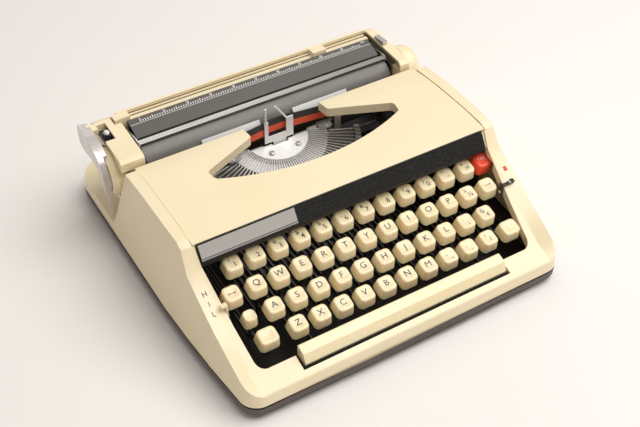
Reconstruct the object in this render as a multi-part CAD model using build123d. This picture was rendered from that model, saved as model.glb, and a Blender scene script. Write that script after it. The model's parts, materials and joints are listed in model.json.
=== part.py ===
from build123d import *
import math
import os

# Portable typewriter. Millimetres; X runs across, Y from the front to the rear, Z up from the table.
# The origin lies on the table, in the middle of the body.

# Body casing
body_half = 149.0  # half the width of the body at its rear
body_front = -151.0  # foremost point of the bowed front
body_rear = 153.0
front_half = 141.0  # half the width just behind the front corners
front_bow = 1.5
front_corner = 15.0
rear_corner = 24.0
taper_start = -10.0  # the sides start to draw in here
draft = 10.3  # the sides lean in by this much over the height below
draft_height = 80.0
wall = 2.5
seam_z = 14.0  # the joint between the tray and the casing
crown_z = 91.3  # the middle of the ribbon cover's top

# Base tray and feet
foot_height = 4.5
foot_radius = 9.0
foot_inset = 20.0
foot_inset_front = 10.0
floor_thick = 2.0
tray_wall = 3.2
groove_height = 1.4
groove_depth = 1.6
screw_radius = 2.0
screw_head_radius = 3.6
screw_head_height = 2.2
post_radius = 4.5

# Keyboard well
well_rear = -51.0
well_front = -131.0
well_half_rear = 128.6
well_half_front = 121.5
well_corner = 8.0
collar_depth = 9.0
notch_half = 92.3
notch_front = -143.0

# Ribbon cover
cover_half = 129.4
cover_gap = 0.4
cover_rear = 50.8
cover_thick = 2.5
cover_flange = 8.5
opening_tip_x = 83.0
opening_tip_y = 3.0
opening_front = -15.7
wing_half = 35.2
wing_corner_y = 36.5
ledge_z = 85.0
cover_lift = 0.3

# Trim panel and name plate
trim_left = -127.4
trim_right = 125.5
plate_thick = 0.8
plate_right = -48.0

# Keys: x of the first key, y and z of the middle of the key's top, for each row
pitch = 19.05
number_row = (-103.4, -59.7, 63.6, 12)
upper_row = (-93.85, -78.1, 54.0, 11)
home_row = (-89.2, -95.9, 44.7, 11)
lower_row = (-79.6, -113.4, 36.5, 10)
cap_width = 14.8
cap_depth = 15.4
cap_height = 10.5
cap_top_width = 11.6
cap_top_depth = 11.8
cap_tilt = 14.0
lever_thick = 1.4
lever_height = 4.0
lever_z = 20.5
stem_width = 3.4
stem_clearance = 0.05
stem_set_back = 1.5
stem_below_top = 4.3
dish_radius = 26.0
dish_depth = 0.9
eye_radius = 4.2

# Key lever shaft
pivot_y = 58.0
pivot_z = 24.0
shaft_radius = 2.0
running_fit = 0.05

# Keys that work the machine: x, y, z of the middle of the key's top
tab_x = 123.0
backspace_place = (115.7, -78.1, 54.0)
margin_release_place = (-114.0, -78.1, 54.0)
lock_place = (-109.0, -94.6, 43.4)
left_shift_place = (-104.2, -112.3, 36.5)
right_shift_place = (113.7, -112.3, 36.5)
lock_width = 11.6
lock_depth = 12.0
shift_width = 16.5
shift_lever_left = -106.4
shift_lever_right = 111.6
tab_lever_x = 121.4
center_column = 4  # the key of the lower row that works the middle typebar

# Space bar
bar_half = 89.6
bar_arm_left = -71.57
bar_arm_right = 80.86
bar_arm_thick = 0.8

# Chassis
frame_half = 124.0
frame_thick = 2.0
frame_top = 30.0
cross_radius = 2.5

# Platen and its ends
platen_y = 77.0
platen_z = 70.0
platen_radius = 17.5
platen_half = 115.0
axle_radius = 3.5
ratchet_radius = 10.0
knob_radius = 19.5
knob_face_radius = 17.4
button_radius = 14.6
button_travel = 1.6

# Carriage
plate_inner = 117.2
side_thick = 1.5
knob_inner = plate_inner + 16.0
knob_rim = knob_inner + 7.8
knob_outer = knob_rim + 4.6
cap_left_outer = knob_rim - 2.0
cap_right_outer = 128.0
cap_wall = 2.0
cap_low = 44.0
bed_z = 37.0
bed_thick = 2.5
rail_y = 92.0
rail_width = 12.0
rail_thick = 6.4
slide_gap = 0.3
bearing_gap = 0.3

window_z = 90.0
ear_radius = 4.2
release_pivot = (121.7, 90.0)
table_half = 113.8

# Paper bail
bail_half = 115.4
bail_pin = 1.5
bail_y = 97.0
bail_z = 86.0

# Margin rack and stops
rack_y = 95.4
rack_z = 90.0
left_stop_x = -117.0
right_stop_x = 66.2
stop_width = 13.0

# Type basket, laid out flat about its middle and then tilted
basket_y = 63.5
basket_z = 59.5
basket_tilt = 12.0
plate_radius = 28.2
segment_inner = 28.5
segment_outer = 37.0
segment_depth = 8.0
typebar_pivot = 33.0
typebar_drop = 3.5
typebar_length = 40.0
typebar_thick = 1.1
typebar_gap = 0.1
typebar_step = 3.41  # degrees between two typebars
wire_radius = 0.7
slug_height = 4.5
post_x = 46.0

# Ribbon
spool_x = 99.0
spool_y = 24.0
spool_radius = 18.5
spool_core = 15.5
ribbon_low = 67.9
ribbon_high = 80.9
ribbon_thick = 0.4
cup_z = 66.4
card_radius = 20.5
card_low = 3.0
card_high = 37.0
card_half = 68.0
card_gap = 15.5

# Return lever
lever_outer = knob_rim + 10.4
lever_inner = lever_outer - 8.0
lever_front = lever_outer - 4.9  # inner edge of the front sheet, which passes outside the knob
lever_sheet = 1.8
lever_pivot = (-lever_outer + 6.4, 104.0)

# Levers on the cheeks
touch_pivot = (-89.0, 49.0)
selector_pivot = (-85.0, 50.5)
cheek_pin = 1.2
cheek_lever_x = (123.6, 124.9)

# Mainspring drum
drum_place = (-90.0, 112.0)
drum_radius = 16.0


def block(x0, x1, y0, y1, z0, z1):
    return Pos((x0 + x1) / 2, (y0 + y1) / 2, (z0 + z1) / 2) * Box(x1 - x0, y1 - y0, z1 - z0)


def prism(points, x0, x1):
    """A solid with the given (y, z) outline between two values of x."""
    return extrude(Plane.YZ.offset(x0) * make_face(Polyline(*points, close=True)), amount=x1 - x0)


def rod_x(radius, x0, x1, y, z):
    return Pos((x0 + x1) / 2, y, z) * Rot(0, 90, 0) * Cylinder(radius, x1 - x0)


def rod_z(radius, x, y, z0, z1):
    return Pos(x, y, (z0 + z1) / 2) * Cylinder(radius, z1 - z0)


def mirror_x(shape):
    return mirror(shape, about=Plane.YZ)


def body_outline(inset=0.0):
    """Plan of the body, drawn in by an inset: bowed front, sides that widen to the rear, round corners."""
    corner_y = body_front + front_bow + front_corner
    rear_y = body_rear - rear_corner
    front_x = front_half - front_corner
    middle_x = (front_half + body_half) / 2 + 1.6
    middle_y = (corner_y + taper_start) / 2
    with BuildLine() as line:
        bow = ThreePointArc((-front_x, body_front + front_bow), (0, body_front), (front_x, body_front + front_bow))
        RadiusArc(bow @ 1, (front_half, corner_y), -front_corner)
        ThreePointArc((front_half, corner_y), (middle_x, middle_y), (body_half, taper_start))
        Line((body_half, taper_start), (body_half, rear_y))
        RadiusArc((body_half, rear_y), (body_half - rear_corner, body_rear), -rear_corner)
        Line((body_half - rear_corner, body_rear), (-body_half + rear_corner, body_rear))
        RadiusArc((-body_half + rear_corner, body_rear), (-body_half, rear_y), -rear_corner)
        Line((-body_half, rear_y), (-body_half, taper_start))
        ThreePointArc((-body_half, taper_start), (-middle_x, middle_y), (-front_half, corner_y))
        RadiusArc((-front_half, corner_y), (-front_x, body_front + front_bow), -front_corner)
    face = make_face(line.line)
    return offset(face, amount=-inset) if inset else face


def leaning_body(inset, z0):
    """The plan drawn up to the draft height, leaning in as it rises."""
    low = Pos(0, 0, z0) * body_outline(inset + draft * (z0 - seam_z) / draft_height)
    high = Pos(0, 0, seam_z + draft_height) * body_outline(inset + draft)
    return loft([low, high], ruled=True)


def cheek_profile(inner, drop=0.0):
    """Side view of the casing, at its outer side or along the well, lowered by a drop."""
    if inner:
        front = [(-151.5, 20.0), (-147.5, 23.5), (-131.0, 28.5), (-100.0, 47.0), (-60.0, 75.0), (-51.5, 89.0)]
    else:
        front = [(-151.5, 21.0), (-145.0, 32.0), (-133.0, 41.0), (-100.0, 53.0), (-61.0, 69.0), (-49.0, 87.5)]
    top = [(-43.0, 91.4), (-20.0, 92.0), (14.0, 91.6), (44.5, 89.6)]
    rear = [(67.0, 27.6), (71.0, 23.0), (120.0, 23.4), (140.0, 24.6), (156.0, 25.2)]
    points = [(y + (drop if y < -60 else 0), z - drop) for y, z in front + top + rear]
    points = [(y - (drop if 44 < y < 70 else 0), z) for y, z in points]
    return [(-160.0, 5.0), (-160.0, points[0][1] - 4)] + points + [(160.0, points[-1][1]), (160.0, 5.0)]


def cheek_solid(drop=0.0):
    """The body's side view, lower along the well than at the outer side."""
    low = cheek_profile(True, drop)
    high = cheek_profile(False, drop)
    inner_x = well_half_rear
    outer_x = body_half + 2
    faces = [
        Plane.YZ.offset(inner_x) * make_face(Polyline(*low, close=True)),
        Plane.YZ.offset(outer_x) * make_face(Polyline(*high, close=True)),
    ]
    side = loft(faces, ruled=True)
    return prism(low, -inner_x, inner_x) + side + mirror_x(side)


def well_plan(grow=0.0):
    """Plan of the keyboard well."""
    points = [
        (-well_half_rear - grow, well_rear + 1),
        (well_half_rear + grow, well_rear + 1),
        (well_half_front + grow, well_front - grow),
        (-well_half_front - grow, well_front - grow),
    ]
    face = make_face(Polyline(*points, close=True))
    return fillet(face.vertices().sort_by(Axis.Y)[:2], well_corner + grow)


def post_places():
    front = (front_half - foot_inset_front, body_front + foot_inset + 4)
    rear = (body_half - foot_inset, body_rear - foot_inset)
    return [(side * x, y) for side in (-1, 1) for x, y in (front, rear)]


def base_tray():
    """Dark tray under the casing, with a groove below the seam and bosses for the feet."""
    low = extrude(Pos(0, 0, foot_height) * body_outline(), amount=seam_z - groove_height - foot_height)
    low = fillet(low.faces().sort_by(Axis.Z)[0].outer_wire().edges(), 2.2)
    lip = extrude(Pos(0, 0, seam_z - groove_height) * body_outline(groove_depth), amount=groove_height)
    hollow = extrude(Pos(0, 0, foot_height + floor_thick) * body_outline(tray_wall), amount=seam_z)
    tray = low + lip - hollow
    for x, y in post_places():
        tray -= rod_z(screw_radius + running_fit, x, y, 0, seam_z)
    return tray


def rubber_feet():
    feet = []
    for x, y in post_places():
        foot = rod_z(foot_radius, x, y, 0, foot_height)
        foot -= rod_z(screw_head_radius + 0.3, x, y, 0, foot_height - 1.2)
        foot -= rod_z(screw_radius + running_fit, x, y, 0, foot_height)
        feet.append(chamfer(foot.faces().sort_by(Axis.Z)[0].outer_wire().edges(), 1.0))
    return feet


def base_screws():
    screws = []
    seat = foot_height - 1.2
    for x, y in post_places():
        head = rod_z(screw_head_radius, x, y, seat - screw_head_height, seat)
        screws.append(head + rod_z(screw_radius, x, y, seat, seam_z + 4))
    return screws


def body_shell():
    """Cream casing: leaning walls, sloping cheeks, the well with its collar and a low deck at the rear."""
    outer = leaning_body(0.0, seam_z) & cheek_solid()
    inner = leaning_body(wall, seam_z - 0.01) & cheek_solid(wall)
    shell = outer - inner
    skirt = outer - Pos(0, 0, -collar_depth) * outer
    well = Pos(0, 0, seam_z) * extrude(well_plan(), amount=draft_height)
    collar = Pos(0, 0, seam_z) * extrude(well_plan(wall), amount=draft_height) - well
    shell += collar & skirt
    shell -= well
    lid_x = cover_half + cover_gap
    shell -= block(-lid_x, lid_x, well_rear - 0.6, body_rear - wall, 40, 110)
    shell -= block(-notch_half, notch_half, notch_front, well_front + 1, 17, 60)
    deck_half = frame_half + 2 * frame_thick
    shell -= block(-deck_half, deck_half, cover_rear + 4, body_rear - 22, seam_z, 40)
    shell -= block(tab_x - 8.4, tab_x + 8.4, number_row[1] - 9.5, well_rear, seam_z, number_row[2] + 3.8)
    ledge = block(cover_half - 4, body_half, well_rear + 12, cover_rear - 10, ledge_z - 2.5, ledge_z) & inner
    shell += ledge
    shell += mirror_x(ledge)
    beam = [(-51.4, 86.2), (-58.0, 75.8), (-56.0, 74.6), (-49.0, 84.6), (-49.0, 86.2)]
    shell += prism(beam, -well_half_rear - 1.5, well_half_rear + 1.5)
    for side, (y, z) in ((-1, touch_pivot), (1, selector_pivot)):
        pin = rod_x(cheek_pin, 122.9, 127, y, z)
        shell += pin if side > 0 else mirror_x(pin)
    for x, y in post_places():
        post = rod_z(post_radius, x, y, foot_height + floor_thick, 45) & outer
        shell += post - rod_z(screw_radius + running_fit, x, y, 0, seam_z + 4.3)
    return shell


def cover_opening(grow=0.0):
    """Plan of the crescent in the cover, open to the rear between the two wings."""
    tip = (opening_tip_x, opening_tip_y)
    with BuildLine() as line:
        ThreePointArc((-tip[0], tip[1]), (0, opening_front), tip)
        Polyline(tip, (opening_tip_x + 2, tip[1] + 11), (wing_half, wing_corner_y), (wing_half, 70),
                 (-wing_half, 70), (-wing_half, wing_corner_y), (-opening_tip_x - 2, tip[1] + 11), (-tip[0], tip[1]))
    face = make_face(line.line)
    corners = [v for v in face.vertices() if v.Y < 60]
    face = fillet(corners, 4.0)
    return offset(face, amount=grow) if grow else face


def ribbon_cover():
    """Cream cover between the casing's sides, with thick edges turned down round the type basket."""
    front = well_rear + 0.4
    top = Spline((front, 89.4), (-30, 91.2), (0, crown_z), (30, 90.0), (cover_rear, 87.0))
    sides = Polyline((cover_rear, 87.0), (cover_rear, 60), (front, 60), (front, 89.4))
    section = Plane.YZ.offset(-cover_half) * make_face([*top.edges(), *sides.edges()])
    outer = extrude(section, amount=2 * cover_half)
    skin = outer - Pos(0, 0, -cover_thick) * outer
    band = outer - Pos(0, 0, -cover_flange) * outer
    opening = extrude(Pos(0, 0, 50) * cover_opening(), amount=60)
    ring = extrude(Pos(0, 0, 50) * cover_opening(cover_thick), amount=60) - opening
    cover = skin + (ring & band)
    rim = outer & block(cover_half - cover_thick, cover_half, well_rear + 13, cover_rear - 11, ledge_z + cover_lift, 95)
    return cover + rim + mirror_x(rim) - opening


def trim_section(front, back):
    """Outline of a strip along the slope below the cover, between two depths behind its front face."""
    top = (-51.5, 89.4)
    low = (-59.6, 77.0)
    normal = (-0.837, 0.547)
    places = ((top, front), (low, front), (low, back))
    ends = [(y - normal[0] * depth, z - normal[1] * depth) for (y, z), depth in places]
    return ends + [(top[0], top[1] - back / normal[1] * 0.99)]


def trim_panel():
    """Black panel between the cover and the keyboard well."""
    return prism(trim_section(0.0, 1.6), trim_left, trim_right)


def name_plate():
    """Bare metal strip on the left part of the panel."""
    top = (-52.6, 88.9)
    low = (-59.3, 78.6)
    points = [top, low, (low[0] - plate_thick, low[1] + plate_thick / 2), (top[0] - plate_thick, top[1] + plate_thick / 2)]
    return prism(points, trim_left + 1, plate_right)


def key_cap(x, y, z, width=cap_width, depth=cap_depth, lever_x=None):
    """Key cap with sloping sides and a dished top, leaning towards the typist, with a slot for its lever."""
    top_width = width - cap_width + cap_top_width
    top_depth = depth - cap_depth + cap_top_depth
    low = RectangleRounded(width, depth, 2.2)
    high = Pos(0, 0, cap_height) * RectangleRounded(top_width, top_depth, 2.6)
    cap = loft([low, high]) - Pos(0, 0, cap_height + dish_radius - dish_depth) * Sphere(dish_radius)
    cap = Pos(x, y, z) * Rot(cap_tilt, 0, 0) * Pos(0, 0, -cap_height) * cap
    middle = x if lever_x is None else lever_x
    half = lever_thick / 2 + stem_clearance
    stem_half = stem_width / 2 + stem_clearance
    stem_y = y + stem_set_back
    return cap - block(middle - half, middle + half, stem_y - stem_half, stem_y + stem_half, 0, z - stem_below_top + 0.3)


def key_lever(x, y, z):
    """Thin lever from the shaft to the underside of a key, with a stem at its front."""
    stem_y = y + stem_set_back
    rear = stem_y + stem_width / 2
    front = stem_y - stem_width / 2
    half = lever_height / 2
    top = z - stem_below_top
    points = [(pivot_y, pivot_z + half), (rear, lever_z + half), (rear, top), (front, top), (front, lever_z - half),
              (pivot_y, pivot_z - half)]
    lever = prism(points, x - lever_thick / 2, x + lever_thick / 2)
    lever += rod_x(eye_radius, x - lever_thick / 2, x + lever_thick / 2, pivot_y, pivot_z)
    return lever - rod_x(shaft_radius + running_fit, x - lever_thick, x + lever_thick, pivot_y, pivot_z)


def row_places(row, skip=None):
    first, y, z, count = row
    return [(first + i * pitch, y, z) for i in range(count) if i != skip]


def row_keys(row, skip=None):
    return [key_cap(*place) for place in row_places(row, skip)]


def row_levers(row, skip=None):
    return [key_lever(*place) for place in row_places(row, skip)]


def shift_keys():
    keys = []
    for place, lever_x in ((left_shift_place, shift_lever_left), (right_shift_place, shift_lever_right)):
        keys.append(key_cap(*place, width=shift_width, lever_x=lever_x))
    return keys


def shift_levers():
    """The two shift levers, joined by a rod under the other levers."""
    low = 12.5
    frame = rod_x(2.0, shift_lever_left, shift_lever_right, 44, low + 2)
    for lever_x, place in ((shift_lever_left, left_shift_place), (shift_lever_right, right_shift_place)):
        frame += key_lever(lever_x, place[1], place[2])
        frame += block(lever_x - lever_thick / 2, lever_x + lever_thick / 2, 41.5, 46.5, low, pivot_z)
    return frame


def space_bar():
    """Long bar in front of the keys, with a slot for each arm."""
    bar = prism([(-128.7, 36.6), (-137.3, 34.0), (-140.6, 26.8), (-140.0, 24.5), (-128.4, 24.5)], -bar_half, bar_half)
    bar = fillet(bar.edges().filter_by(Axis.X).sort_by(Axis.Z)[-2:], 1.2)
    half = bar_arm_thick / 2 + stem_clearance
    for x in (bar_arm_left, bar_arm_right):
        bar -= block(x - half, x + half, -134.05, -129.95, 20, 31.3)
    return bar


def space_bar_arms():
    """Two thin arms that carry the space bar, between the keys and the levers, joined by a rod."""
    half = lever_height / 2
    side = [(pivot_y, pivot_z + half), (-130, lever_z + half), (-130, 31), (-134, 31), (-134, lever_z - half),
            (33, pivot_z - half - 0.6), (33, 12.5), (39, 12.5), (39, pivot_z - half - 0.4), (pivot_y, pivot_z - half)]
    arms = rod_x(2.0, bar_arm_left, bar_arm_right, 36, 14.5)
    for x in (bar_arm_left, bar_arm_right):
        near, far = x - bar_arm_thick / 2, x + bar_arm_thick / 2
        arms += prism(side, near, far) + rod_x(eye_radius, near, far, pivot_y, pivot_z)
        arms -= rod_x(shaft_radius + running_fit, near - 1, far + 1, pivot_y, pivot_z)
    return arms


def key_lever_shaft():
    return rod_x(shaft_radius, -frame_half - frame_thick, frame_half + frame_thick, pivot_y, pivot_z)


def chassis():
    """Two side plates joined by rods and a cross beam, with the spool cups and the posts of the type basket."""
    floor_z = foot_height + floor_thick + 0.3
    side = [(-44, floor_z), (118, floor_z), (118, frame_top), (84, frame_top), (84, 24), (64, 24), (62.5, 32.5),
            (44, 40), (43, cup_z), (5, cup_z), (0, 40), (-44, 30)]
    plate = prism(side, frame_half, frame_half + frame_thick)
    plate -= rod_x(shaft_radius + running_fit, frame_half - 1, frame_half + 3, pivot_y, pivot_z)
    cup = Pos(spool_x, spool_y, cup_z - 1.5) * extrude(Circle(spool_radius + 2), amount=1.5)
    cup += block(spool_x, frame_half + 1, spool_y - 9, spool_y + 9, cup_z - 1.5, cup_z)
    cup += rod_z(1.5, spool_x, spool_y, cup_z - 1, ribbon_high + 3)
    half = plate + cup
    frame = half + mirror_x(half)
    for y in (-30, 86):
        frame += rod_x(cross_radius, -frame_half, frame_half, y, floor_z + cross_radius)
    frame += block(-frame_half, frame_half, 55, 62.5, 29.5, 32.5)
    frame += block(-frame_half, frame_half, 106, 118, floor_z, floor_z + 2)
    frame += rod_z(2.0, *drum_place, floor_z + 1, floor_z + 15)
    for x in (-post_x, post_x):
        frame += rod_z(2.0, x, 57.5, 30, 50)
    return frame


def mainspring_drum():
    """Drum whose band pulls the carriage along."""
    low = foot_height + floor_thick + 2.6
    x, y = drum_place
    drum = rod_z(drum_radius, x, y, low, low + 10) - rod_z(drum_radius - 1.2, x, y, low + 1.5, low + 8.5)
    drum += rod_z(5, x, y, low, low + 10)
    return drum - rod_z(2.0 + running_fit, x, y, low - 1, low + 11)


def tilt_basket(shape):
    return Pos(0, basket_y, basket_z) * Rot(basket_tilt, 0, 0) * shape


def type_segment():
    """Slotted ring that holds the typebars, with two ears that slide on the posts of the chassis."""
    ring = Pos(0, 0, -segment_depth) * extrude(Circle(segment_outer) - Circle(segment_inner), amount=segment_depth)
    ring &= Pos(0, -33, 0) * Box(90, 54, 40)
    slot_half = typebar_thick / 2 + typebar_gap
    for k in range(-22, 22):
        slot = block(-slot_half, slot_half, -segment_outer - 1, -segment_inner + 1, -segment_depth + 1.2, 1)
        ring -= Rot(0, 0, k * typebar_step) * slot
    floor = Pos(0, 0, -segment_depth) * extrude(Circle(segment_inner + 1) - Circle(16), amount=segment_depth - 2.3)
    floor &= Pos(0, -33, 0) * Box(90, 54, 40)
    wire = Pos(0, 0, -typebar_drop) * Torus(typebar_pivot, wire_radius) & Pos(0, -33, 0) * Box(90, 54, 40)
    segment = tilt_basket(ring + floor + wire)
    for side in (-1, 1):
        ear = block(post_x - 4.5, post_x + 4.5, 53.3, 61.7, 38, 47) + block(28, post_x, 54.0, 60, 40, 46)
        ear += block(28, 34, 54.0, 57.5, 40, 50.2)
        ear -= rod_z(2.0 + running_fit, post_x, 57.5, 30, 60)
        segment += ear if side > 0 else mirror_x(ear)
    return segment


def segment_plate():
    """Bright half disc inside the ring, with two screws and a gap for the ribbon vibrator."""
    plate = Pos(0, 0, -2.0) * extrude(Circle(plate_radius), amount=2.0)
    plate &= Pos(0, -36, 0) * Box(90, 54, 40)
    plate -= block(-7.5, 7.5, -11.2, -8, -3, 1)
    for x in (-12.5, 12.5):
        plate += Pos(x, -18.5, 0.5) * Cylinder(2.2, 1.4)
    return tilt_basket(plate)


def typebar():
    """One typebar lying forward at rest, with its type slug and the hole for the wire that it swings on."""
    reach = typebar_pivot + typebar_length
    points = [(-reach, -typebar_drop - 1.3), (-reach, -typebar_drop + 1.3), (-typebar_pivot, -typebar_drop + 1.9),
              (-typebar_pivot + 3.2, -typebar_drop + 1.0), (-typebar_pivot + 3.2, -typebar_drop - 1.0),
              (-typebar_pivot, -typebar_drop - 1.9)]
    bar = prism(points, -typebar_thick / 2, typebar_thick / 2)
    slug = block(-1.5, 1.5, -reach - 0.5, -reach + 4.0, -typebar_drop - 1.0, -typebar_drop + slug_height)
    hole = rod_x(wire_radius + running_fit, -typebar_thick, typebar_thick, -typebar_pivot, -typebar_drop)
    return bar + slug - hole


def typebars(indices):
    return [tilt_basket(Rot(0, 0, k * typebar_step) * typebar()) for k in indices]


def holder_arc(inner, outer, low, high):
    """Ring sector about the platen, between two angles above the horizontal, seen from the side."""
    points = []
    for radius, angles in ((outer, (low, (low + high) / 2, high)), (inner, (high, (low + high) / 2, low))):
        for angle in angles:
            a = math.radians(angle)
            points.append((platen_y - radius * math.cos(a), platen_z + radius * math.sin(a)))
    return points


def card_holder():
    """Two ruled strips that hold the paper against the platen, each on a leg, with the type's way between them."""
    a0, a1, a2, b2, b1, b0 = holder_arc(card_radius, card_radius + 0.7, card_low, card_high)
    edges = [ThreePointArc(a0, a1, a2), Line(a2, b2), ThreePointArc(b2, b1, b0), Line(b0, a0)]
    strip = extrude(Plane.YZ.offset(card_gap) * make_face(edges), amount=card_half - card_gap)
    x = card_half - 10
    leg = block(x - 3, x + 3, 56.0, 57.2, 32.8, 73) + block(x - 3, x + 3, 56.0, 61.5, 32.8, 34.3)
    right = strip + (leg - rod_x(card_radius, x - 4, x + 4, platen_y, platen_z))
    return [right, mirror_x(right)]


def ribbon_vibrator():
    """Bright carrier in front of the platen, with a fork for the ribbon and two wire posts."""
    front = 54.2
    rear = front + 1.0
    carrier = block(-6, 6, front, rear, 32.8, 64) + block(-14, 13, front, rear, 60, 66)
    carrier += block(-6, 6, front, 60.5, 32.8, 34.3)
    carrier += block(-14, -10.5, front, rear, 60, 81.5) + block(6.5, 13, front, rear, 60, 80)
    for x0, z0, x1, z1 in ((-12.6, 80, -12.2, 95), (7.5, 79, -3.6, 95)):
        length = math.hypot(x1 - x0, z1 - z0)
        lean = math.degrees(math.atan2(x1 - x0, z1 - z0))
        carrier += Pos((x0 + x1) / 2, front + 0.5, (z0 + z1) / 2) * Rot(0, lean, 0) * Cylinder(0.9, length)
    return carrier


def ribbon():
    """Two-colour ribbon from one spool past the print point to the other."""
    side = [(0, 57.7), (7.5, 57.7), (16, 55.5), (40, 52.5), (84, 44.0), (spool_x + 3, spool_y + spool_core + 0.7)]
    points = [(-x, y) for x, y in reversed(side)] + side[1:]
    band = None
    for (x0, y0), (x1, y1) in zip(points, points[1:]):
        length = math.hypot(x1 - x0, y1 - y0)
        angle = math.degrees(math.atan2(y1 - y0, x1 - x0))
        height = ribbon_high - ribbon_low
        middle = Pos((x0 + x1) / 2, (y0 + y1) / 2, ribbon_low + height / 2)
        piece = middle * Rot(0, 0, angle) * Box(length, ribbon_thick, height)
        piece += rod_z(ribbon_thick / 2, x1, y1, ribbon_low, ribbon_high)
        band = piece if band is None else band + piece
    return band


def ribbon_spool(side):
    """Spool with its wound ribbon between two thin flanges."""
    x = side * spool_x
    spool = rod_z(spool_core, x, spool_y, ribbon_low - 0.3, ribbon_high + 0.3)
    for z in (ribbon_low - 1.1, ribbon_high + 0.3):
        spool += rod_z(spool_radius, x, spool_y, z, z + 0.8)
    return spool - rod_z(1.5 + running_fit, x, spool_y, 60, 90)


def carriage_frame():
    """Bed with lips that run on the rail, and the two end plates that carry the platen."""
    frame = block(-plate_inner - side_thick, plate_inner + side_thick, 70, 112, bed_z, bed_z + bed_thick)
    lip = rail_width / 2 + slide_gap
    for side in (-1, 1):
        y = rail_y + side * (lip + 1)
        frame += block(-plate_inner, plate_inner, y - 1, y + 1, bed_z - 4.5, bed_z + 0.5)
    outline = [(70, bed_z), (112, bed_z), (112, 90), (104, 92), (92, 90), (66, 86.5), (64.6, 84), (64.6, 60)]
    end = prism(outline, plate_inner, plate_inner + side_thick)
    end -= rod_x(axle_radius + running_fit, plate_inner - 1, plate_inner + 3, platen_y, platen_z)
    end -= rod_x(bail_pin + running_fit, plate_inner - 1, plate_inner + 3, bail_y, bail_z)
    end -= block(plate_inner - 1, plate_inner + 3, 97.9, 109.5, 81.5, 95)
    frame += end
    frame += mirror_x(end)
    return frame


def carriage_rail():
    top = bed_z - slide_gap
    half = frame_half + frame_thick
    return block(-half, half, rail_y - rail_width / 2, rail_y + rail_width / 2, top - rail_thick, top)


def cap_outline(inset=0.0):
    points = [(53.5, 84.0), (53.5, 91.5), (56.5, 94.3), (84.0, 95.3), (108.0, 95.8), (114.0, 93.0), (114.0, cap_low),
              (66.5, cap_low), (64.6, 60.0), (64.6, 84.0)]
    face = make_face(Polyline(*points, close=True))
    return offset(face, amount=-inset) if inset else face


def end_cap(outer_x):
    """Hollow cap over the end of the carriage, open towards the middle."""
    inner_x = plate_inner + side_thick + 0.3
    cap = extrude(Plane.YZ.offset(inner_x) * cap_outline(), amount=outer_x - inner_x)
    cap -= extrude(Plane.YZ.offset(inner_x - 1) * cap_outline(cap_wall), amount=min(outer_x, 131.0) - cap_wall - inner_x + 1)
    return cap


def left_end_cap():
    """Left cap, with a recess for the knob, a window for the line-space lever and an ear for the return lever."""
    cap = mirror_x(end_cap(cap_left_outer))
    cap -= rod_x(knob_radius + 1.9, -cap_left_outer - 1, -knob_inner + 0.6, platen_y, platen_z)
    cap -= rod_x(axle_radius + 0.3, -cap_left_outer, -plate_inner, platen_y, platen_z)
    cap -= block(-cap_left_outer - 1, -130.5, 82.5, 104.5, window_z, 99)
    cap -= block(-124.5, -plate_inner, 98.5, 109.5, 81.5, 99)
    x, y = lever_pivot
    ear = block(x, -cap_left_outer + 1, y - ear_radius, y + ear_radius, 91.0, 95.4) + rod_z(ear_radius, x, y, 91.0, 95.4)
    cap += ear
    return cap + rod_z(2.0, x, y, 92, 98.6)


def right_end_cap():
    cap = end_cap(cap_right_outer) - rod_z(1.5 + running_fit, *release_pivot, 90, 100)
    return cap - rod_x(axle_radius + 0.3, plate_inner, cap_right_outer + 1, platen_y, platen_z)


def line_space_selector():
    """Small lever in the window of the left cap."""
    low = window_z + 0.3
    return block(-136.4, -131.4, 90, 97, low, low + 2.5) + block(-134.6, -132.8, 91.5, 95.5, low + 2, low + 6)


def platen():
    roller = rod_x(platen_radius, -platen_half, platen_half, platen_y, platen_z)
    return roller - rod_x(axle_radius, -platen_half, platen_half, platen_y, platen_z)


def platen_axle():
    """Axle through the platen and the end plates, with the ratchet wheel of the line feed."""
    axle = rod_x(axle_radius, -knob_inner - 6, knob_inner + 6, platen_y, platen_z)
    wheel = rod_x(ratchet_radius, -128.0, -125.5, platen_y, platen_z)
    for k in range(24):
        a = math.radians(15 * k)
        tooth = ratchet_radius + 0.2
        wheel -= rod_x(0.9, -129, -124, platen_y + tooth * math.cos(a), platen_z + tooth * math.sin(a))
    return axle + wheel


def knob(side):
    """Platen knob with a tapered outer half, hollow in the middle of its face on the left."""
    half = extrude(Plane.YZ.offset(knob_inner) * Circle(knob_radius), amount=knob_rim - knob_inner)
    cone = loft([Plane.YZ.offset(knob_rim) * Circle(knob_radius), Plane.YZ.offset(knob_outer) * Circle(knob_face_radius)])
    body = Pos(0, platen_y, platen_z) * (half + cone)
    body -= rod_x(axle_radius, knob_inner - 1, knob_inner + 6, platen_y, platen_z)
    if side > 0:
        return body
    return mirror_x(body - rod_x(button_radius + 0.3, knob_inner + 7.5, knob_outer + 1, platen_y, platen_z))


def knob_button():
    """Button in the face of the left knob."""
    low = knob_inner + 7.5 + button_travel + 0.3
    return rod_x(button_radius, -knob_outer - 0.4, -low, platen_y, platen_z)


def paper_bail():
    """Bar with two arms that swing up from the end plates."""
    bail = block(-bail_half, bail_half, 71.4, 76.6, 88.7, 90.0)
    bail -= block(-bail_half - 1, bail_half + 1, 72.0, 76.0, 88.0, 89.2)
    arm = [(70.8, 88.2), (72.4, 91.2), (78, 91.5), (bail_y + 1, bail_z + 2.6), (bail_y + 2.2, bail_z), (bail_y, bail_z - 2.8),
           (84, 89.2), (76, 88.2)]
    side = prism(arm, bail_half - 0.2, bail_half + 1.0)
    side += rod_x(bail_pin, bail_half, plate_inner + side_thick, bail_y, bail_z)
    return bail + side + mirror_x(side)


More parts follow.
